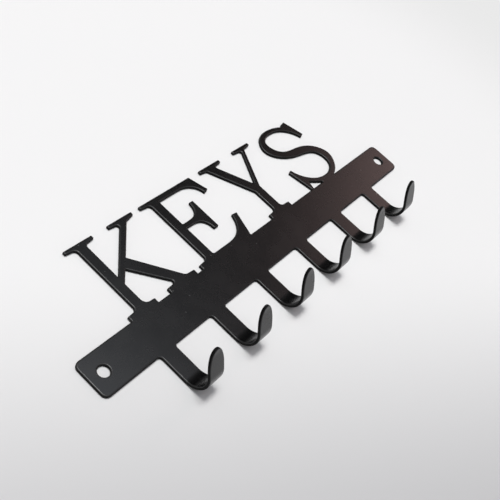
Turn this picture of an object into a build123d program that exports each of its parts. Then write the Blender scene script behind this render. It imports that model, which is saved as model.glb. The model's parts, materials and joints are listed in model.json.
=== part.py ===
"""Wall key rack, cut and bent from one steel sheet.

A straight bar with two screw holes carries a row of slab-serif capitals on
its top edge and a row of bent hooks on its bottom edge. All of them are
regions of the same sheet, so each region is a solid that meets the bar face
to face along the line where the letter or the hook grows out of it.

Frame: X along the bar, Y up the wall, Z out of the wall. The origin lies on
the back face, midway between the two screw holes. Millimetres throughout.
"""

import os

from build123d import *

# The sheet and the bar
SHEET_THICKNESS = 1.5
BAR_LENGTH = 220.0
BAR_HEIGHT = 17.5
BAR_CORNER_RADIUS = 2.75

# The screw holes, one near each end at mid height
HOLE_DIAMETER = 5.0
HOLE_END_DISTANCE = 7.25

# The hooks: a strip, a bend past square, a straight lip and a slight outward curl
HOOK_COUNT = 6
HOOK_PITCH = 30.9
HOOK_WIDTH = 8.5
HOOK_ROOT_FILLET = 1.5
STRIP_LENGTH = 12.6
BEND_INNER_RADIUS = 7.6
BEND_ANGLE = 116.0
LIP_LENGTH = 8.6
CURL_INNER_RADIUS = 19.25
CURL_ANGLE = 10.0
TONGUE_LENGTH = 9.2

# The letters stand on the bar's top edge and are drawn on a grid GRID_HEIGHT tall
LETTER_HEIGHT = 39.2
GRID_HEIGHT = 39.5

# Letter strokes and serifs on that grid
STEM = 5.3
SERIF_TIP = 1.7
SERIF_ROOT = 2.3
FOOT_TIP = 2.35
FOOT_ROOT = 2.75
TIP_ROUND = 0.4
BRACKET = 1.8
TIGHT_BRACKET = 1.0
WIDE_BRACKET = 3.0

bar_top = BAR_HEIGHT / 2
bar_bottom = -BAR_HEIGHT / 2
hole_x = BAR_LENGTH / 2 - HOLE_END_DISTANCE
grid_scale = LETTER_HEIGHT / GRID_HEIGHT

os.makedirs("parts", exist_ok=True)


def save(part, name):
    """Label a finished solid and write it to its STEP file."""
    part.label = name
    export_step(part, f"parts/{name}.step")


# ---------------------------------------------------------------- the bar

with BuildPart() as mounting_bar:
    with BuildSketch():
        RectangleRounded(BAR_LENGTH, BAR_HEIGHT, BAR_CORNER_RADIUS)
        with Locations((-hole_x, 0), (hole_x, 0)):
            Circle(HOLE_DIAMETER / 2, mode=Mode.SUBTRACT)
    extrude(amount=SHEET_THICKNESS)
save(mounting_bar.part, "mounting_bar")


# -------------------------------------------------------------- the hooks

bend_radius = BEND_INNER_RADIUS + SHEET_THICKNESS / 2
curl_radius = CURL_INNER_RADIUS + SHEET_THICKNESS / 2


def make_hook(centre_x):
    """One hook: the bent strip, its filleted root and its tongue-shaped end."""
    side_plane = Plane.YZ.offset(centre_x - HOOK_WIDTH / 2)
    root_plane = Plane(origin=(centre_x, bar_bottom, 0))
    with BuildPart() as hook:
        with BuildSketch(side_plane):
            with BuildLine():
                strip = Line(
                    (bar_bottom, SHEET_THICKNESS / 2),
                    (bar_bottom - STRIP_LENGTH, SHEET_THICKNESS / 2),
                )
                bend = JernArc(strip @ 1, strip % 1, bend_radius, -BEND_ANGLE)
                lip = PolarLine(bend @ 1, LIP_LENGTH, direction=bend % 1)
                curl = JernArc(lip @ 1, lip % 1, curl_radius, CURL_ANGLE)
            trace(line_width=SHEET_THICKNESS)
        extrude(amount=HOOK_WIDTH)
        along = curl % 1
        tongue_plane = Plane(
            origin=(centre_x, (curl @ 1).X, (curl @ 1).Y),
            x_dir=(1, 0, 0),
            z_dir=(0, along.Y, -along.X),
        )
        reach = 2 * (STRIP_LENGTH + bend_radius + LIP_LENGTH)
        with BuildSketch(tongue_plane):
            with Locations((0, TONGUE_LENGTH)):
                Ellipse(HOOK_WIDTH / 2, TONGUE_LENGTH)
            with Locations((0, TONGUE_LENGTH + reach / 2)):
                Rectangle(HOOK_WIDTH, reach)
        extrude(amount=reach, both=True, mode=Mode.INTERSECT)
        with BuildSketch(root_plane):
            flare = HOOK_WIDTH + 2 * HOOK_ROOT_FILLET
            Rectangle(flare, HOOK_ROOT_FILLET, align=(Align.CENTER, Align.MAX))
            with Locations((-flare / 2, -HOOK_ROOT_FILLET), (flare / 2, -HOOK_ROOT_FILLET)):
                Circle(HOOK_ROOT_FILLET, mode=Mode.SUBTRACT)
        extrude(amount=SHEET_THICKNESS)
    return hook


for index in range(HOOK_COUNT):
    hook = make_hook((index - (HOOK_COUNT - 1) / 2) * HOOK_PITCH)
    save(hook.part, f"hook_{index + 1}")


# ------------------------------------------------------------ the letters
# Every outline is drawn on the grid: X from the bar's middle, Y up from its
# top edge. The whole drawing is then scaled to the letter height.

word_plane = Plane(origin=(0, bar_top, 0))
serif_tip_y = GRID_HEIGHT - SERIF_TIP
serif_root_y = GRID_HEIGHT - SERIF_ROOT


def rounded_outline(*corners):
    """A closed outline from corners given as (x, y, radius)."""
    FilletPolyline(
        [(x, y) for x, y, radius in corners],
        radius=[radius for x, y, radius in corners],
        close=True,
    )


# K: a stem, a thin rising arm and a thick falling leg
k_left = -75.05
k_right = k_left + STEM
with BuildPart() as letter_k:
    with BuildSketch(word_plane):
        with BuildLine():
            rounded_outline(
                (-80.1, 0, 0),
                (-80.1, FOOT_TIP, TIP_ROUND),
                (k_left, FOOT_ROOT, BRACKET),
                (k_left, serif_root_y, BRACKET),
                (-80.1, serif_tip_y, TIP_ROUND),
                (-80.1, GRID_HEIGHT, TIP_ROUND),
                (-64.5, GRID_HEIGHT, TIP_ROUND),
                (-64.5, serif_tip_y, TIP_ROUND),
                (k_right, serif_root_y, BRACKET),
                (k_right, 18.0, 0),
                (-50.2, serif_root_y, TIGHT_BRACKET),
                (-55.9, serif_tip_y, TIP_ROUND),
                (-55.9, GRID_HEIGHT, TIP_ROUND),
                (-41.3, GRID_HEIGHT, TIP_ROUND),
                (-41.3, serif_tip_y, TIP_ROUND),
                (-46.2, 36.8, WIDE_BRACKET),
                (-60.2, 23.2, 0),
                (-44.8, FOOT_ROOT, WIDE_BRACKET),
                (-39.9, FOOT_TIP, TIP_ROUND),
                (-39.9, 0, 0),
                (-57.0, 0, 0),
                (-57.0, FOOT_TIP, TIP_ROUND),
                (-51.2, FOOT_ROOT, TIGHT_BRACKET),
                (-64.6, 19.0, 0),
                (k_right, 14.1, 0),
                (k_right, FOOT_ROOT, WIDE_BRACKET),
                (-64.5, FOOT_TIP, TIP_ROUND),
                (-64.5, 0, 0),
            )
        make_face()
        scale(by=grid_scale)
    extrude(amount=SHEET_THICKNESS)
save(letter_k.part, "letter_k")

# E: a stem and three arms that swell into serifs
e_left = -31.3
e_right = e_left + STEM
with BuildPart() as letter_e:
    with BuildSketch(word_plane):
        with BuildLine():
            Line((-2.2, 0), (-36.5, 0))
            FilletPolyline(
                (-36.5, 0),
                (-36.5, FOOT_TIP),
                (e_left, FOOT_ROOT),
                (e_left, serif_root_y),
                (-36.8, serif_tip_y),
                (-36.8, GRID_HEIGHT),
                (-3.0, GRID_HEIGHT),
                (0.2, 29.6),
                (-2.8, 28.8),
                radius=[TIP_ROUND, BRACKET, BRACKET, TIP_ROUND, TIP_ROUND, TIP_ROUND, TIP_ROUND],
            )
            Bezier((-2.8, 28.8), (-3.8, 34.2), (-8.0, 36.5), (-13.5, 36.5))
            FilletPolyline((-13.5, 36.5), (e_right, 36.5), (e_right, 21.9), (-22.0, 21.9), radius=[0, TIP_ROUND])
            Bezier((-22.0, 21.9), (-16.5, 21.9), (-15.0, 24.0), (-14.4, 28.0))
            FilletPolyline(
                (-14.4, 28.0),
                (-14.2, 28.8),
                (-11.75, 28.8),
                (-11.75, 12.1),
                (-14.7, 12.1),
                (-14.8, 13.0),
                radius=[TIP_ROUND, TIP_ROUND, TIP_ROUND, TIP_ROUND],
            )
            Bezier((-14.8, 13.0), (-15.2, 17.0), (-17.0, 19.2), (-22.0, 19.2))
            FilletPolyline((-22.0, 19.2), (e_right, 19.2), (e_right, 3.0), (-16.0, 3.0), radius=[0, TIGHT_BRACKET])
            Bezier((-16.0, 3.0), (-8.0, 3.0), (-4.5, 5.5), (-2.3, 10.6))
            FilletPolyline(
                (-2.3, 10.6),
                (-1.3, 13.0),
                (2.0, 12.6),
                (-2.2, 0),
                radius=[TIP_ROUND, TIP_ROUND],
            )
        make_face()
        scale(by=grid_scale)
    extrude(amount=SHEET_THICKNESS)
save(letter_e.part, "letter_e")

# Y: a thick and a thin arm that meet on a stem
y_left = 20.35
y_right = y_left + STEM
with BuildPart() as letter_y:
    with BuildSketch(word_plane):
        with BuildLine():
            rounded_outline(
                (15.0, 0, 0),
                (15.0, FOOT_TIP, TIP_ROUND),
                (y_left, FOOT_ROOT, BRACKET),
                (y_left, 15.4, 0),
                (8.15, serif_root_y, BRACKET),
                (4.1, serif_tip_y, TIP_ROUND),
                (4.1, GRID_HEIGHT, TIP_ROUND),
                (19.3, GRID_HEIGHT, TIP_ROUND),
                (19.3, serif_tip_y, TIP_ROUND),
                (13.95, serif_root_y, TIGHT_BRACKET),
                (24.15, 19.2, 0),
                (35.1, serif_root_y, TIGHT_BRACKET),
                (29.6, serif_tip_y, TIP_ROUND),
                (29.6, GRID_HEIGHT, TIP_ROUND),
                (42.4, GRID_HEIGHT, TIP_ROUND),
                (42.4, serif_tip_y, TIP_ROUND),
                (37.5, serif_root_y, BRACKET),
                (y_right, 16.8, 0),
                (y_right, FOOT_ROOT, BRACKET),
                (31.1, FOOT_TIP, TIP_ROUND),
                (31.1, 0, 0),
            )
        make_face()
        scale(by=grid_scale)
    extrude(amount=SHEET_THICKNESS)
save(letter_y.part, "letter_y")

# S: one swelling stroke between two flared serifs, on a foot that stands on the bar
with BuildPart() as letter_s:
    with BuildSketch(word_plane):
        with BuildLine():
            Polyline((70.1, 0), (59.7, 0), (52.2, 4.3), (51.1, 0), (49.4, 0), (46.8, 13.8), (49.2, 14.6))
            Spline(
                (49.2, 14.6),
                (53.15, 7.65),
                (64.0, 2.5),
                (74.7, 7.2),
                (73.7, 14.45),
                (64.25, 18.35),
                (52.55, 22.35),
                (46.7, 30.2),
                (50.2, 37.1),
                (59.8, 39.7),
                (69.6, 37.25),
            )
            Polyline((69.6, 37.25), (70.9, 38.2), (74.1, 38.9), (77.7, 27.5), (74.8, 26.6))
            Spline(
                (74.8, 26.6),
                (71.1, 32.55),
                (60.0, 36.95),
                (52.0, 33.55),
                (54.1, 26.7),
                (64.05, 23.35),
                (74.5, 19.9),
                (80.35, 11.0),
                (76.65, 3.7),
                (70.1, 0),
            )
        make_face()
        scale(by=grid_scale)
    extrude(amount=SHEET_THICKNESS)
save(letter_s.part, "letter_s")
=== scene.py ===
"""A wall key rack: one steel sheet, laser cut, its six hooks bent, coated with black powder.

The script follows the making of the real rack. The flat blank is cut with its letters, strips
and holes, its cut edges take the soft rounding that a powder coat gives them, the strips are
bent into hooks, and the coat goes on last. Metres throughout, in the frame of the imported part:
X along the bar, Y up the wall, Z out of the wall.
"""

import json
import math

import bmesh
import bpy
import numpy as np
from mathutils import Matrix, Vector
from mathutils.geometry import delaunay_2d_cdt


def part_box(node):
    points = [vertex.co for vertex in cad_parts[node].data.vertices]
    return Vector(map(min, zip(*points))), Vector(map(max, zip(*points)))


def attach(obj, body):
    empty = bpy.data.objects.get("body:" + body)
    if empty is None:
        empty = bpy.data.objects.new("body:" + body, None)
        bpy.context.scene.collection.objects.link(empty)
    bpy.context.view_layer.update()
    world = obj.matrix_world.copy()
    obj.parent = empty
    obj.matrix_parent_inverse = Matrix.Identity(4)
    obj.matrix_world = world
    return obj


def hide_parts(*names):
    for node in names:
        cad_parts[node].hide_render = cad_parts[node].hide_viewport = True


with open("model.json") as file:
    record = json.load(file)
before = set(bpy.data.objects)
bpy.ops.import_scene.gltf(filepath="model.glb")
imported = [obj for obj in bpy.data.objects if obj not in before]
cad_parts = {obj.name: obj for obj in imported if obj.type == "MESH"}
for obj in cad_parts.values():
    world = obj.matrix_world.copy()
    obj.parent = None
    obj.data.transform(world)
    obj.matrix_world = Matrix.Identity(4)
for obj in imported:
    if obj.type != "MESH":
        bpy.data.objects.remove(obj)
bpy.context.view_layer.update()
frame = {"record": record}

# ------------------------------------------------------------------ mounting bar
# The straight middle of the sheet, which screws to the wall. Laser cut from 1.5 mm steel, with
# rounded corners and one plain round screw hole near each end.

MM = 0.001
bar_low, bar_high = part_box("mounting_bar")
sheet_thickness = bar_high.z - bar_low.z
bar_top = bar_high.y
bar_bottom = bar_low.y
bar_corner = 2.75 * MM
screws = next(m for m in frame["record"]["mounts"] if m["name"] == "wall_screws")
screw_hole_radius = screws["dims"]["hole_r_mm"] * MM
screw_hole_x = screws["dims"]["spacing_x_mm"] * MM / 2


def arc(centre, radius, start, end, steps):
    """Points on an arc from start to end, in degrees, as smooth outline points."""
    angles = np.radians(np.linspace(start, end, steps + 1))
    return [(centre[0] + radius * math.cos(a), centre[1] + radius * math.sin(a), 0.0) for a in angles]


screw_hole_sides = 60
last_side = 360 - 360 / screw_hole_sides
screw_holes = [
    arc((x, 0.0), screw_hole_radius, 0, last_side, screw_hole_sides - 1)
    for x in (-screw_hole_x, screw_hole_x)
]
right_end = [(bar_high.x, bar_bottom, bar_corner), (bar_high.x, bar_top, bar_corner)]
left_end = [(bar_low.x, bar_top, bar_corner), (bar_low.x, bar_bottom, bar_corner)]

# ----------------------------------------------------------------------- letters
# Four slab-serif capitals cut in one with the bar. Each outline runs from its left foot over the
# top to its right foot, as corners (x, y, rounding) on a drawing grid in millimetres.

letter_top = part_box("letter_k")[1].y
grid_height = 39.5
grid_scale = (letter_top - bar_top) / grid_height
stem = 5.3
serif_tip = grid_height - 1.7
serif_root = grid_height - 2.3
foot_tip = 2.35
foot_root = 2.75
tip = 0.4
bracket = 1.8
tight_bracket = 1.0
wide_bracket = 3.0
notch = 0.2


def bezier(start, pull_start, pull_end, end, steps=14):
    """Smooth points inside a cubic curve, its two ends left out."""
    a, b, c, d = (np.array(p) for p in (start, pull_start, pull_end, end))
    points = []
    for t in np.linspace(0, 1, steps + 1)[1:-1]:
        x, y = (1 - t) ** 3 * a + 3 * t * (1 - t) ** 2 * b + 3 * t**2 * (1 - t) * c + t**3 * d
        points.append((x, y, 0.0))
    return points


def flowing(*knots, spacing=0.7):
    """Smooth points of one curve through the knots, its two ends left out."""
    knots = np.array(knots)
    chords = np.linalg.norm(np.diff(knots, axis=0), axis=1)
    at = np.concatenate(([0.0], np.cumsum(chords)))
    count = len(knots)
    system = np.zeros((count, count))
    wanted = np.zeros((count, 2))
    for end, near in ((0, slice(0, 4)), (count - 1, slice(count - 4, count))):
        system[end, end] = 1
        wanted[end] = np.polyfit(at[near] - at[end], knots[near], 3)[2]
    for i in range(1, count - 1):
        before, after = chords[i - 1], chords[i]
        system[i, i - 1 : i + 2] = (after, 2 * (before + after), before)
        rise_before = (knots[i] - knots[i - 1]) / before
        rise_after = (knots[i + 1] - knots[i]) / after
        wanted[i] = 3 * (after * rise_before + before * rise_after)
    slopes = np.linalg.solve(system, wanted)
    points = []
    for i, chord in enumerate(chords):
        pulls = (knots[i] + slopes[i] * chord / 3, knots[i + 1] - slopes[i + 1] * chord / 3)
        steps = max(2, round(chord / spacing))
        points += bezier(knots[i], *pulls, knots[i + 1], steps)
        if i < count - 2:
            points.append((*knots[i + 1], 0.0))
    return points


# K: a stem, a thin rising arm and a thick falling leg, which shut in a hole above the bar
k_left = -75.05
k_right = k_left + stem
letter_k = [
    (-80.1, 0, notch),
    (-80.1, foot_tip, tip),
    (k_left, foot_root, bracket),
    (k_left, serif_root, bracket),
    (-80.1, serif_tip, tip),
    (-80.1, grid_height, tip),
    (-64.5, grid_height, tip),
    (-64.5, serif_tip, tip),
    (k_right, serif_root, bracket),
    (k_right, 18.0, notch),
    (-50.2, serif_root, tight_bracket),
    (-55.9, serif_tip, tip),
    (-55.9, grid_height, tip),
    (-41.3, grid_height, tip),
    (-41.3, serif_tip, tip),
    (-46.2, 36.8, wide_bracket),
    (-60.2, 23.2, notch),
    (-44.8, foot_root, wide_bracket),
    (-39.9, foot_tip, tip),
    (-39.9, 0, notch),
]
letter_k_hole = [
    (-57.0, 0, notch),
    (-57.0, foot_tip, tip),
    (-51.2, foot_root, tight_bracket),
    (-64.6, 19.0, notch),
    (k_right, 14.1, notch),
    (k_right, foot_root, wide_bracket),
    (-64.5, foot_tip, tip),
    (-64.5, 0, notch),
]

# E: a stem and three arms that swell into serifs
e_left = -31.3
e_right = e_left + stem
letter_e = [
    (-36.5, 0, notch),
    (-36.5, foot_tip, tip),
    (e_left, foot_root, bracket),
    (e_left, serif_root, bracket),
    (-36.8, serif_tip, tip),
    (-36.8, grid_height, tip),
    (-3.0, grid_height, tip),
    (0.2, 29.6, tip),
    (-2.8, 28.8, tip),
    *bezier((-2.8, 28.8), (-3.8, 34.2), (-8.0, 36.5), (-13.5, 36.5)),
    (-13.5, 36.5, 0),
    (e_right, 36.5, notch),
    (e_right, 21.9, tip),
    (-22.0, 21.9, 0),
    *bezier((-22.0, 21.9), (-16.5, 21.9), (-15.0, 24.0), (-14.4, 28.0)),
    (-14.4, 28.0, 0),
    (-14.2, 28.8, tip),
    (-11.75, 28.8, tip),
    (-11.75, 12.1, tip),
    (-14.7, 12.1, tip),
    (-14.8, 13.0, 0),
    *bezier((-14.8, 13.0), (-15.2, 17.0), (-17.0, 19.2), (-22.0, 19.2)),
    (-22.0, 19.2, 0),
    (e_right, 19.2, notch),
    (e_right, 3.0, tight_bracket),
    (-16.0, 3.0, 0),
    *bezier((-16.0, 3.0), (-8.0, 3.0), (-4.5, 5.5), (-2.3, 10.6)),
    (-2.3, 10.6, 0),
    (-1.3, 13.0, tip),
    (2.0, 12.6, tip),
    (-2.2, 0, notch),
]

# Y: a thick and a thin arm that meet on a stem
y_left = 20.35
y_right = y_left + stem
letter_y = [
    (15.0, 0, notch),
    (15.0, foot_tip, tip),
    (y_left, foot_root, bracket),
    (y_left, 15.4, tight_bracket),
    (8.15, serif_root, bracket),
    (4.1, serif_tip, tip),
    (4.1, grid_height, tip),
    (19.3, grid_height, tip),
    (19.3, serif_tip, tip),
    (13.95, serif_root, tight_bracket),
    (24.15, 19.2, notch),
    (35.1, serif_root, tight_bracket),
    (29.6, serif_tip, tip),
    (29.6, grid_height, tip),
    (42.4, grid_height, tip),
    (42.4, serif_tip, tip),
    (37.5, serif_root, bracket),
    (y_right, 16.8, tight_bracket),
    (y_right, foot_root, bracket),
    (31.1, foot_tip, tip),
    (31.1, 0, notch),
]

# S: one swelling stroke between two flared serifs, on a foot that stands on the bar
letter_s = [
    (49.4, 0, notch),
    (46.8, 13.8, tip),
    (49.2, 14.6, tip),
    *flowing(
        (49.2, 14.6),
        (53.15, 7.65),
        (64.0, 2.5),
        (74.7, 7.2),
        (73.7, 14.45),
        (64.25, 18.35),
        (52.55, 22.35),
        (46.7, 30.2),
        (50.2, 37.1),
        (59.8, 39.7),
        (69.6, 37.25),
    ),
    (69.6, 37.25, notch),
    (70.9, 38.2, tip),
    (74.1, 38.9, tip),
    (77.7, 27.5, tip),
    (74.8, 26.6, tip),
    *flowing(
        (74.8, 26.6),
        (71.1, 32.55),
        (60.0, 36.95),
        (52.0, 33.55),
        (54.1, 26.7),
        (64.05, 23.35),
        (74.5, 19.9),
        (80.35, 11.0),
        (76.65, 3.7),
        (70.1, 0),
    ),
    (70.1, 0, notch),
]
letter_s_hole = [(51.1, 0, notch), (52.2, 4.3, notch), (59.7, 0, notch)]


def on_bar(drawing):
    """A letter's drawing in metres, standing on the bar's top edge."""
    return [(x * grid_scale, bar_top + y * grid_scale, r * grid_scale) for x, y, r in drawing]


# ------------------------------------------------------------------------- hooks
# Six strips cut in one with the bar's bottom edge, each bent forward on a press past square,
# with a straight lip that leans back over the mouth, a slight outward curl and a rounded tongue.

hooks = [f"hook_{number}" for number in range(1, 7)]
hook_width = 8.5 * MM
hook_root_fillet = 1.5 * MM
strip_length = 12.6 * MM
lip_length = 8.6 * MM
tongue_length = 9.2 * MM
bend_radius = 7.6 * MM + sheet_thickness / 2
bend_angle = math.radians(116)
curl_radius = 19.25 * MM + sheet_thickness / 2
curl_angle = math.radians(10)
hook_station = 0.55 * MM
# Each stretch from the root: its length along the middle of the sheet, and how far it turns
hook_stretches = [
    (strip_length, 0.0),
    (bend_radius * bend_angle, bend_angle),
    (lip_length, 0.0),
    (curl_radius * curl_angle, -curl_angle),
]
hook_reach = sum(length for length, turn in hook_stretches)


def centre_x(hook):
    """The middle of a hook along the bar."""
    low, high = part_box(hook)
    return (low.x + high.x) / 2


def flat_hook(middle):
    """A hook's strip before bending, from its left root round the tongue to its right root."""
    half = hook_width / 2
    tongue_y = bar_bottom - hook_reach + tongue_length
    angles = np.radians(np.linspace(180, 360, 31)[1:-1])
    tongue = [
        (middle + half * math.cos(a), tongue_y + tongue_length * math.sin(a), 0.0) for a in angles
    ]
    return [
        (middle - half, bar_bottom, hook_root_fillet),
        (middle - half, tongue_y, 0.0),
        *tongue,
        (middle + half, tongue_y, 0.0),
        (middle + half, bar_bottom, hook_root_fillet),
    ]


# --------------------------------------------------------------------- the blank
# The whole steel sheet as it leaves the laser: one outer cut, two screw holes and the two holes
# that letters shut in. Its cut edges carry the soft rounding of a tumbled and coated edge.

edge_round = 0.6 * MM
back_round = 0.35 * MM
edge_steps = 6
grid_pitch = 1.8 * MM
fill_clearance = 0.7 * MM
arc_step = math.radians(10)
weld = 1e-7


def wound(corners, way):
    """The corners in the order that turns left for way 1 and right for way -1."""
    x, y = np.array(corners)[:, :2].T
    area = np.sum(x * np.roll(y, -1) - y * np.roll(x, -1))
    return corners if area * way > 0 else corners[::-1]


def cut_line(corners, way):
    """A closed cut through rounded corners, with the metal on its left.

    Each point comes with its landing, where the edge's rounding runs out into the flat face.
    At a corner tighter than the rounding, the landings meet in one point.
    """
    corners = wound(corners, way)
    points = []
    landings = []
    for i, (x, y, radius) in enumerate(corners):
        here = np.array((x, y))
        if radius == 0:
            points.append(here)
            landings.append(None)
            continue
        back = np.array(corners[i - 1][:2]) - here
        ahead = np.array(corners[(i + 1) % len(corners)][:2]) - here
        convex = ahead[0] * back[1] - ahead[1] * back[0] > 0
        back_length = np.linalg.norm(back)
        ahead_length = np.linalg.norm(ahead)
        back /= back_length
        ahead /= ahead_length
        half = math.acos(np.clip(back @ ahead, -1, 1)) / 2
        reach = min(radius / math.tan(half), 0.49 * back_length, 0.95 * ahead_length)
        radius = reach * math.tan(half)
        bisector = (back + ahead) / np.linalg.norm(back + ahead)
        centre = here + bisector * radius / math.sin(half)
        wide = max(radius, edge_round)
        wide_centre = here + bisector * wide / math.sin(half)
        first = here + back * reach - centre
        last = here + ahead * reach - centre
        start = math.atan2(first[1], first[0])
        sweep = math.remainder(math.atan2(last[1], last[0]) - start, math.tau)
        steps = max(2, math.ceil(abs(sweep) / arc_step))
        for angle in np.linspace(start, start + sweep, steps + 1):
            out = np.array((math.cos(angle), math.sin(angle)))
            points.append(centre + radius * out)
            if convex:
                landings.append(wide_centre + (wide - edge_round) * out)
            else:
                landings.append(centre + (radius + edge_round) * out)
    return divided(points, landings)


def divided(points, landings):
    """The cut with its long straights divided, and the landings that no corner has set."""
    fine = []
    fine_landings = []
    for i, here in enumerate(points):
        ahead = points[(i + 1) % len(points)]
        pitch = hook_station if max(here[1], ahead[1]) < bar_bottom - MM else grid_pitch
        parts = max(1, round(np.linalg.norm(ahead - here) / pitch))
        fine += [here + (ahead - here) * part / parts for part in range(parts)]
        fine_landings += [landings[i]] + [None] * (parts - 1)
    fine = np.array(fine)
    ahead = np.roll(fine, -1, axis=0) - fine
    ahead /= np.linalg.norm(ahead, axis=1)[:, None]
    after = np.stack((-ahead[:, 1], ahead[:, 0]), axis=1)
    before = np.roll(after, 1, axis=0)
    mitre = (before + after) / (1 + np.sum(before * after, axis=1))[:, None]
    for i, landing in enumerate(fine_landings):
        if landing is None:
            fine_landings[i] = fine[i] + mitre[i] * edge_round
    return fine, np.array(fine_landings)


outer = left_end[1:]
for hook in hooks:
    outer += flat_hook(centre_x(hook))
outer += right_end
for drawing in (letter_s, letter_y, letter_e, letter_k):
    outer += on_bar(drawing)[::-1]
outer += left_end[:1]
holes = (*screw_holes, on_bar(letter_k_hole), on_bar(letter_s_hole))
cuts = [cut_line(outer, 1)] + [cut_line(hole, -1) for hole in holes]
cap_outlines = []
for _, landings in cuts:
    strides = np.linalg.norm(landings - np.roll(landings, 1, axis=0), axis=1)
    cap_outlines.append(landings[strides > weld])


def inside(points, loops):
    """Which points lie in the metal, by crossings of all the loops."""
    crossings = np.zeros(len(points), dtype=int)
    for loop in loops:
        for (x1, y1), (x2, y2) in zip(loop, np.roll(loop, -1, axis=0)):
            spans = (y1 > points[:, 1]) != (y2 > points[:, 1])
            if y1 != y2:
                at = x1 + (points[:, 1] - y1) * (x2 - x1) / (y2 - y1)
                crossings += spans & (points[:, 0] < at)
    return crossings % 2 == 1


def clear_of(points, loops, distance):
    """Which points lie farther than distance from every outline point."""
    rim = np.concatenate(loops)
    keep = np.ones(len(points), dtype=bool)
    for i, point in enumerate(points):
        keep[i] = np.min(np.sum((rim - point) ** 2, axis=1)) > distance**2
    return keep


# Inner points of the flat faces: rows on the bar's two edges, where the blank is later divided
sheet_x = np.arange(bar_low.x, bar_high.x, grid_pitch)
bar_rows = np.linspace(bar_bottom, bar_top, round((bar_top - bar_bottom) / grid_pitch) + 1)
letter_rows = np.arange(bar_top + grid_pitch, letter_top, grid_pitch)
fill = [(x, y) for y in (*bar_rows, *letter_rows) for x in sheet_x]
hook_rows = np.arange(bar_bottom - hook_station, bar_bottom - hook_reach, -hook_station)
hook_columns = np.array((-0.27, 0, 0.27))
for hook in hooks:
    columns = centre_x(hook) + hook_width * hook_columns
    fill += [(x, y) for y in hook_rows for x in columns]
fill = np.array(fill)
fill = fill[inside(fill, cap_outlines)]
fill = fill[clear_of(fill, cap_outlines, fill_clearance)]

flat_points = [Vector(p) for p in np.concatenate((*cap_outlines, fill))]
rim_edges = []
first = 0
for cap in cap_outlines:
    rim = list(range(first, first + len(cap)))
    rim_edges += zip(rim, rim[1:] + rim[:1])
    first += len(cap)
found = delaunay_2d_cdt([p / MM for p in flat_points], rim_edges, [], 0, weld)
flat_points = [p * MM for p in found[0]]
triangles = [face for face in found[2] if len(face) == 3]
middles = [sum((flat_points[i] for i in face), Vector((0, 0))) / 3 for face in triangles]
triangles = [face for face, keep in zip(triangles, inside(np.array(middles), cap_outlines)) if keep]

blank = bmesh.new()
facing = blank.verts.layers.float_vector.new("facing")
wear = blank.verts.layers.float.new("rim")


def add_point(x, y, z, normal, rim):
    """A vertex that remembers the way its surface faces and how near the cut edge it is."""
    vert = blank.verts.new((x, y, z))
    vert[facing] = normal
    vert[wear] = rim
    return vert


front = [add_point(p.x, p.y, sheet_thickness, Vector((0, 0, 1)), 0.0) for p in flat_points]
back = [add_point(p.x, p.y, 0.0, Vector((0, 0, -1)), 0.0) for p in flat_points]
for a, b, c in triangles:
    blank.faces.new((front[a], front[b], front[c]))
    blank.faces.new((back[c], back[b], back[a]))

# The rim of each cut: rows that turn down from the front face and in to the back face. Its
# steep part, where the coat is thin, takes the second material.
steep = 0.9
turns = [math.pi / 2 * k / edge_steps for k in range(1, edge_steps + 1)]
flat_array = np.array(flat_points)
for cut, landings in cuts:
    nearest = [int(np.argmin(np.sum((flat_array - p) ** 2, axis=1))) for p in landings]
    rows = [[front[i] for i in nearest]]
    for depth, side in ((edge_round, 1), (back_round, -1)):
        for turn in turns[::side]:
            lift = depth * math.cos(turn)
            level = sheet_thickness - depth + lift if side > 0 else depth - lift
            tilt = math.hypot(depth * math.sin(turn), edge_round * math.cos(turn))
            row = []
            for point, landing in zip(cut, landings):
                out = (point - landing) / np.linalg.norm(point - landing)
                place = landing + (point - landing) * math.sin(turn)
                flat = depth * math.sin(turn) / tilt
                normal = Vector((*(out * flat), side * edge_round * math.cos(turn) / tilt))
                row.append(add_point(*place, level, normal, math.sin(turn)))
            rows.append(row)
    rows.append([back[i] for i in nearest])
    for upper, lower in zip(rows, rows[1:]):
        for i in range(len(upper)):
            ring = dict.fromkeys((upper[i - 1], lower[i - 1], lower[i], upper[i]))
            band_face = blank.faces.new(tuple(ring))
            band_face.material_index = int(max(v[wear] for v in ring) > steep)

flats = [f for f in blank.faces if abs(f.normal.z) > 0.99 or f.calc_area() == 0]
bmesh.ops.join_triangles(
    blank, faces=flats, angle_face_threshold=0.01, angle_shape_threshold=0.7, cmp_seam=False
)
for edge_y in (bar_bottom, bar_top):
    everything = blank.verts[:] + blank.edges[:] + blank.faces[:]
    bmesh.ops.bisect_plane(
        blank, geom=everything, dist=weld, plane_co=(0, edge_y, 0), plane_no=(0, 1, 0)
    )

# ----------------------------------------------------------- dividing and bending
# Bar, letters and hooks are one steel sheet. Each region of the blank becomes its own piece,
# closed where it was divided from the bar, and the hook strips are bent round the press tool.


def bent(point, direction):
    """Where a point of a flat strip, and a direction there, go when the hook is bent."""
    left = bar_bottom - point.y
    y, z, angle = bar_bottom, sheet_thickness / 2, 0.0
    for length, turn in hook_stretches:
        part = min(max(left, 0.0), length)
        left -= part
        swung = turn * part / length
        chord = part if swung == 0 else part * math.sin(swung / 2) / (swung / 2)
        y -= chord * math.cos(angle + swung / 2)
        z += chord * math.sin(angle + swung / 2)
        angle += swung
    offset = point.z - sheet_thickness / 2
    place = Vector((point.x, y + offset * math.sin(angle), z + offset * math.cos(angle)))
    return place, Matrix.Rotation(-angle, 3, "X") @ direction


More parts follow.
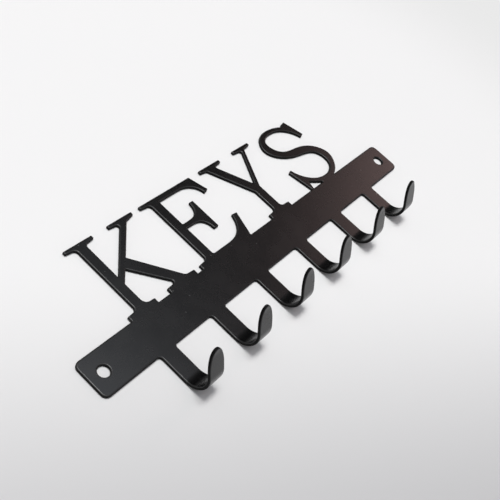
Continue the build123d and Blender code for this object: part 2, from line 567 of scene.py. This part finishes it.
def divide(name, belongs, bend=False):
    """One piece of the blank, from the faces whose middles belong to it."""
    piece = blank.copy()
    normals = piece.verts.layers.float_vector["facing"]
    others = [f for f in piece.faces if not belongs(f.calc_center_median())]
    bmesh.ops.delete(piece, geom=others, context="FACES")
    sides = len(piece.faces)
    open_edges = [e for e in piece.edges if e.is_boundary]
    bmesh.ops.edgeloop_fill(piece, edges=open_edges)
    piece.faces.index_update()
    bmesh.ops.recalc_face_normals(piece, faces=piece.faces)
    corners = []
    for vert in piece.verts:
        if bend and vert.co.y < bar_bottom:
            vert.co, vert[normals] = bent(vert.co.copy(), vert[normals].copy())
    piece.normal_update()
    for face in piece.faces:
        face.smooth = True
        for vert in face.verts:
            divided_side = face.index >= sides
            corners.append(face.normal.copy() if divided_side else vert[normals].normalized())
    mesh = bpy.data.meshes.new(name)
    piece.to_mesh(mesh)
    piece.free()
    mesh.normals_split_custom_set(corners)
    thing = bpy.data.objects.new(name, mesh)
    bpy.context.scene.collection.objects.link(thing)
    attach(thing, "root")
    return thing


slack = 1e-6
pieces = [divide("bar_sheet", lambda p: bar_bottom - slack < p.y < bar_top + slack)]
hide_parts("mounting_bar")
for node in ("letter_k", "letter_e", "letter_y", "letter_s"):
    low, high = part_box(node)
    letter = divide(f"{node}_sheet", lambda p: p.y > bar_top + slack and low.x < p.x < high.x)
    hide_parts(node)
    pieces.append(letter)
for node in hooks:
    low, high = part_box(node)
    strip = divide(
        f"{node}_sheet", lambda p: p.y < bar_bottom - slack and low.x < p.x < high.x, bend=True
    )
    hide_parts(node)
    pieces.append(strip)

# ------------------------------------------------------------------- powder coat
# A black polyester powder, sprayed and baked over every face: satin, with the fine even orange
# peel of a thin coat, a little thinner and duller over the cut edges, and a few specks of lint.


def new_group(name, inputs, outputs):
    """An empty node group with float inputs (name: default) and typed outputs (name: kind)."""
    group = bpy.data.node_groups.new(name, "ShaderNodeTree")
    for label, default in inputs.items():
        socket = group.interface.new_socket(label, in_out="INPUT", socket_type="NodeSocketFloat")
        socket.default_value = default
    for label, kind in outputs.items():
        group.interface.new_socket(label, in_out="OUTPUT", socket_type=kind)
    return group, group.nodes.new("NodeGroupInput"), group.nodes.new("NodeGroupOutput")


def noise_of_size(group, size, kind="ShaderNodeTexNoise"):
    """A noise over the piece whose waves or cells have the size, in mm, that a socket gives."""
    place = group.nodes.new("ShaderNodeTexCoord")
    per_metre = group.nodes.new("ShaderNodeMath")
    per_metre.operation = "DIVIDE"
    per_metre.inputs[0].default_value = 1 / MM
    noise = group.nodes.new(kind)
    group.links.new(size, per_metre.inputs[1])
    group.links.new(place.outputs["Object"], noise.inputs["Vector"])
    group.links.new(per_metre.outputs[0], noise.inputs["Scale"])
    return noise


def orange_peel_group():
    """Height of the coat's skin: soft waves with a finer grain on them."""
    inputs = {"Wave Size": 1.2, "Grain Size": 0.3, "Grain Share": 0.4}
    group, given, result = new_group("orange_peel", inputs, {"Height": "NodeSocketFloat"})
    link = group.links.new
    blend = group.nodes.new("ShaderNodeMix")
    link(given.outputs["Grain Share"], blend.inputs["Factor"])
    for label, layer in (("Wave Size", "A"), ("Grain Size", "B")):
        noise = noise_of_size(group, given.outputs[label])
        noise.inputs["Detail"].default_value = 1.5
        link(noise.outputs["Fac"], blend.inputs[layer])
    link(blend.outputs["Result"], result.inputs["Height"])
    return group


def lint_group():
    """Masks for dust specks and for the faint rubs that handling leaves."""
    inputs = {"Speck Spacing": 6.0, "Speck Size": 0.05, "Rub Size": 14.0}
    outputs = {"Specks": "NodeSocketFloat", "Rubs": "NodeSocketFloat"}
    group, given, result = new_group("lint_and_rubs", inputs, outputs)
    link = group.links.new
    cells = noise_of_size(group, given.outputs["Speck Spacing"], "ShaderNodeTexVoronoi")
    speck = group.nodes.new("ShaderNodeMath")
    speck.operation = "LESS_THAN"
    link(cells.outputs["Distance"], speck.inputs[0])
    link(given.outputs["Speck Size"], speck.inputs[1])
    link(speck.outputs[0], result.inputs["Specks"])
    rub = noise_of_size(group, given.outputs["Rub Size"])
    rub.inputs["Detail"].default_value = 6
    rub.inputs["Roughness"].default_value = 0.65
    link(rub.outputs["Fac"], result.inputs["Rubs"])
    return group


def thin_edge_group():
    """How far the coat has drawn back from the cut edges, broken up a little."""
    inputs = {"Strength": 3.0, "Patch Size": 3.0}
    group, given, result = new_group("thin_edge", inputs, {"Mask": "NodeSocketFloat"})
    link = group.links.new
    rim = group.nodes.new("ShaderNodeAttribute")
    rim.attribute_name = "rim"
    patch = noise_of_size(group, given.outputs["Patch Size"])
    broken = group.nodes.new("ShaderNodeMath")
    broken.operation = "MULTIPLY"
    link(rim.outputs["Fac"], broken.inputs[0])
    link(patch.outputs["Fac"], broken.inputs[1])
    scaled = group.nodes.new("ShaderNodeMath")
    scaled.operation = "MULTIPLY"
    scaled.use_clamp = True
    link(broken.outputs[0], scaled.inputs[0])
    link(given.outputs["Strength"], scaled.inputs[1])
    link(scaled.outputs[0], result.inputs["Mask"])
    return group


coat = bpy.data.materials.new("black_powder_coat")
coat.use_nodes = True
tree = coat.node_tree
shader = tree.nodes["Principled BSDF"]
shader.inputs["IOR"].default_value = 1.5


def placed(group):
    """A node group placed in the coat's material."""
    node = tree.nodes.new("ShaderNodeGroup")
    node.node_tree = group
    return node


peel = placed(orange_peel_group())
lint = placed(lint_group())
thin = placed(thin_edge_group())

bump = tree.nodes.new("ShaderNodeBump")
bump.inputs["Strength"].default_value = 0.16
bump.inputs["Distance"].default_value = 0.03 * MM
tree.links.new(peel.outputs["Height"], bump.inputs["Height"])
tree.links.new(bump.outputs["Normal"], shader.inputs["Normal"])

# The colour: deep black, a trace greyer where the coat is thin, with pale specks
coat_black = (0.0024, 0.0024, 0.0026, 1)
edge_grey = (0.005, 0.005, 0.005, 1)
lint_grey = (0.05, 0.05, 0.05, 1)
colour = tree.nodes.new("ShaderNodeMix")
colour.data_type = "RGBA"
colour.inputs["A"].default_value = coat_black
colour.inputs["B"].default_value = edge_grey
tree.links.new(thin.outputs["Mask"], colour.inputs["Factor"])
with_lint = tree.nodes.new("ShaderNodeMix")
with_lint.data_type = "RGBA"
with_lint.inputs["B"].default_value = lint_grey
tree.links.new(lint.outputs["Specks"], with_lint.inputs["Factor"])
tree.links.new(colour.outputs["Result"], with_lint.inputs["A"])
tree.links.new(with_lint.outputs["Result"], shader.inputs["Base Color"])

# The satin sheen: a little uneven from rubs, and duller where the coat is thin
satin_smooth = 0.24
satin_rubbed = 0.30
rim_duller = 0.26
satin = tree.nodes.new("ShaderNodeMapRange")
satin.inputs["From Min"].default_value = 0.3
satin.inputs["From Max"].default_value = 0.7
satin.inputs["To Min"].default_value = satin_smooth
satin.inputs["To Max"].default_value = satin_rubbed
tree.links.new(lint.outputs["Rubs"], satin.inputs["Value"])
duller = tree.nodes.new("ShaderNodeMath")
duller.operation = "MULTIPLY_ADD"
duller.inputs[1].default_value = rim_duller
tree.links.new(thin.outputs["Mask"], duller.inputs[0])
tree.links.new(satin.outputs["Result"], duller.inputs[2])
tree.links.new(duller.outputs[0], shader.inputs["Roughness"])

# On the steep of the cut edges the coat is thinnest and hardly shines
dull_edge = coat.copy()
dull_edge.name = "black_powder_coat_on_cut_edge"
dull_edge.node_tree.nodes["Principled BSDF"].inputs["Specular IOR Level"].default_value = 0.06

for piece in pieces:
    piece.data.materials.append(coat)
    piece.data.materials.append(dull_edge)

# ------------------------------------------------------------------ pale surface
# A plain matt table top under the rack, which lies on its back. It is painted near white, with
# painted shade that greys it towards the near edge where the light falls off, and farther out it
# sweeps up into a pale backdrop.

surface_white = (0.88, 0.88, 0.875, 1)
# The grey below is painted shade, for the light falling off towards the near edge
falloff_shade_grey = (0.52, 0.52, 0.525, 1)
backdrop_white = (0.82, 0.82, 0.82, 1)
surface_half = 3.0
towards_near_edge = (-0.55, -0.835, 0)
shade_from = 0.0
shade_to = 0.16
sweep_from = 0.20
sweep_to = 0.34
floor_mesh = bpy.data.meshes.new("pale_surface")
floor_mesh.from_pydata(
    [(x * surface_half, y * surface_half, 0) for x, y in ((-1, -1), (1, -1), (1, 1), (-1, 1))],
    [],
    [(0, 1, 2, 3)],
)
floor = bpy.data.objects.new("pale_surface", floor_mesh)
bpy.context.scene.collection.objects.link(floor)
pale = bpy.data.materials.new("pale_surface")
pale.use_nodes = True
paint = pale.node_tree
paint_shader = paint.nodes["Principled BSDF"]
paint_shader.inputs["Roughness"].default_value = 0.8
paint_shader.inputs["Specular IOR Level"].default_value = 0.2
where = paint.nodes.new("ShaderNodeTexCoord")
nearer = paint.nodes.new("ShaderNodeVectorMath")
nearer.operation = "DOT_PRODUCT"
nearer.inputs[1].default_value = towards_near_edge
paint.links.new(where.outputs["Object"], nearer.inputs[0])
# Painted shade: the floor colour greys towards the near edge, in place of the light falling off there
painted_shade = paint.nodes.new("ShaderNodeMapRange")
painted_shade.interpolation_type = "SMOOTHSTEP"
painted_shade.inputs["From Min"].default_value = shade_from
painted_shade.inputs["From Max"].default_value = shade_to
paint.links.new(nearer.outputs["Value"], painted_shade.inputs["Value"])
with_painted_shade = paint.nodes.new("ShaderNodeMix")
with_painted_shade.data_type = "RGBA"
with_painted_shade.inputs["A"].default_value = surface_white
with_painted_shade.inputs["B"].default_value = falloff_shade_grey
paint.links.new(painted_shade.outputs["Result"], with_painted_shade.inputs["Factor"])
paint.links.new(with_painted_shade.outputs["Result"], paint_shader.inputs["Base Color"])

# The backdrop shows to the eye and in the coat's reflections, and gives no other light
away = paint.nodes.new("ShaderNodeVectorMath")
away.operation = "LENGTH"
paint.links.new(where.outputs["Object"], away.inputs[0])
sweep = paint.nodes.new("ShaderNodeMapRange")
sweep.interpolation_type = "SMOOTHSTEP"
sweep.inputs["From Min"].default_value = sweep_from
sweep.inputs["From Max"].default_value = sweep_to
paint.links.new(away.outputs["Value"], sweep.inputs["Value"])
ray = paint.nodes.new("ShaderNodeLightPath")
seen_by = ray.outputs["Is Camera Ray"]
for kind in ("Is Glossy Ray", "Is Transmission Ray"):
    either = paint.nodes.new("ShaderNodeMath")
    either.operation = "MAXIMUM"
    paint.links.new(seen_by, either.inputs[0])
    paint.links.new(ray.outputs[kind], either.inputs[1])
    seen_by = either.outputs[0]
swept = paint.nodes.new("ShaderNodeMath")
swept.operation = "MULTIPLY"
paint.links.new(sweep.outputs["Result"], swept.inputs[0])
paint.links.new(seen_by, swept.inputs[1])
backdrop = paint.nodes.new("ShaderNodeEmission")
backdrop.inputs["Color"].default_value = backdrop_white
joined = paint.nodes.new("ShaderNodeMixShader")
paint.links.new(swept.outputs[0], joined.inputs[0])
paint.links.new(paint_shader.outputs[0], joined.inputs[1])
paint.links.new(backdrop.outputs[0], joined.inputs[2])
paint.links.new(joined.outputs[0], paint.nodes["Material Output"].inputs["Surface"])
floor_mesh.materials.append(pale)

# ------------------------------------------------------------------ studio light
# One soft lamp above the letters, in a dim room with pale walls: a wide ceiling panel, a small
# cool panel high and a small warm one low beyond the bar's right end, and a black card beside
# them that keeps the coat looking black.

world = bpy.data.worlds.new("studio")
world.use_nodes = True
bpy.context.scene.world = world
sky = world.node_tree
room_grey = (0.13, 0.125, 0.13, 1)
wall_top = math.radians(26)
wall_full = math.radians(8)
panels = [
    # name, azimuth, elevation, radius of the full part, radius where it ends, colour
    ("black_card", 41, 24, 20, 34, (0.01, 0.01, 0.01, 1)),
    ("warm_panel", 2.5, 31, 2, 12, (2.80, 1.92, 1.82, 1)),
    ("ceiling_panel", 92, 86, 29, 36, (0.98, 1.02, 1.08, 1)),
    ("cool_panel", 22, 66, 3, 9, (1.38, 1.54, 1.78, 1)),
]
facing_out = sky.nodes.new("ShaderNodeTexCoord")
height = sky.nodes.new("ShaderNodeSeparateXYZ")
sky.links.new(facing_out.outputs["Generated"], height.inputs[0])
band = sky.nodes.new("ShaderNodeMapRange")
band.interpolation_type = "SMOOTHSTEP"
band.inputs["From Min"].default_value = math.sin(wall_top)
band.inputs["From Max"].default_value = math.sin(wall_full)
sky.links.new(height.outputs["Z"], band.inputs["Value"])
room = sky.nodes.new("ShaderNodeMix")
room.data_type = "RGBA"
room.inputs["A"].default_value = room_grey
room.inputs["B"].default_value = backdrop_white
sky.links.new(band.outputs["Result"], room.inputs["Factor"])
seen = room.outputs["Result"]
for name, azimuth, elevation, full, end, panel_colour in panels:
    turn, rise = math.radians(azimuth), math.radians(elevation)
    towards = sky.nodes.new("ShaderNodeVectorMath")
    towards.operation = "DOT_PRODUCT"
    towards.inputs[1].default_value = (
        math.cos(turn) * math.cos(rise),
        math.sin(turn) * math.cos(rise),
        math.sin(rise),
    )
    sky.links.new(facing_out.outputs["Generated"], towards.inputs[0])
    mask = sky.nodes.new("ShaderNodeMapRange")
    mask.interpolation_type = "SMOOTHSTEP"
    mask.inputs["From Min"].default_value = math.cos(math.radians(end))
    mask.inputs["From Max"].default_value = math.cos(math.radians(full))
    sky.links.new(towards.outputs["Value"], mask.inputs["Value"])
    panel = sky.nodes.new("ShaderNodeMix")
    panel.label = name
    panel.data_type = "RGBA"
    panel.inputs["B"].default_value = panel_colour
    sky.links.new(mask.outputs["Result"], panel.inputs["Factor"])
    sky.links.new(seen, panel.inputs["A"])
    seen = panel.outputs["Result"]
sky.links.new(seen, sky.nodes["Background"].inputs["Color"])

lamp_distance = 2.5
lamp_rise = math.radians(78)
lamp_way = Vector((0.0, math.cos(lamp_rise), math.sin(lamp_rise)))
lamp_light = bpy.data.lights.new("soft_lamp", "AREA")
lamp_light.shape = "ELLIPSE"
lamp_light.size = 1.12
lamp_light.size_y = 0.59
lamp_light.color = (1.0, 0.99, 0.975)
lamp_light.energy = 38.0
lamp = bpy.data.objects.new("soft_lamp", lamp_light)
lamp.location = lamp_way * lamp_distance
lamp.rotation_euler = lamp_way.to_track_quat("Z", "Y").to_euler()
bpy.context.scene.collection.objects.link(lamp)

# ------------------------------------------------------------------------ camera
# A long lens low over the bar's left end, rolled a little, that looks down along the bar
# towards its right end. Everything is sharp, with no shift.

view = bpy.data.cameras.new("camera")
view.sensor_width = 36
view.lens = 56.82
camera = bpy.data.objects.new("camera", view)
bpy.context.scene.collection.objects.link(camera)
right = Vector((0.58762, -0.71721, 0.37458))
up = Vector((0.4430, 0.67256, 0.5928))
back_of_view = right.cross(up)
turned = Matrix((right, up, back_of_view)).transposed().to_4x4()
camera.matrix_world = Matrix.Translation((-0.24427, -0.05996, 0.24827)) @ turned
bpy.context.scene.camera = camera
bpy.context.scene.view_settings.view_transform = "Standard"
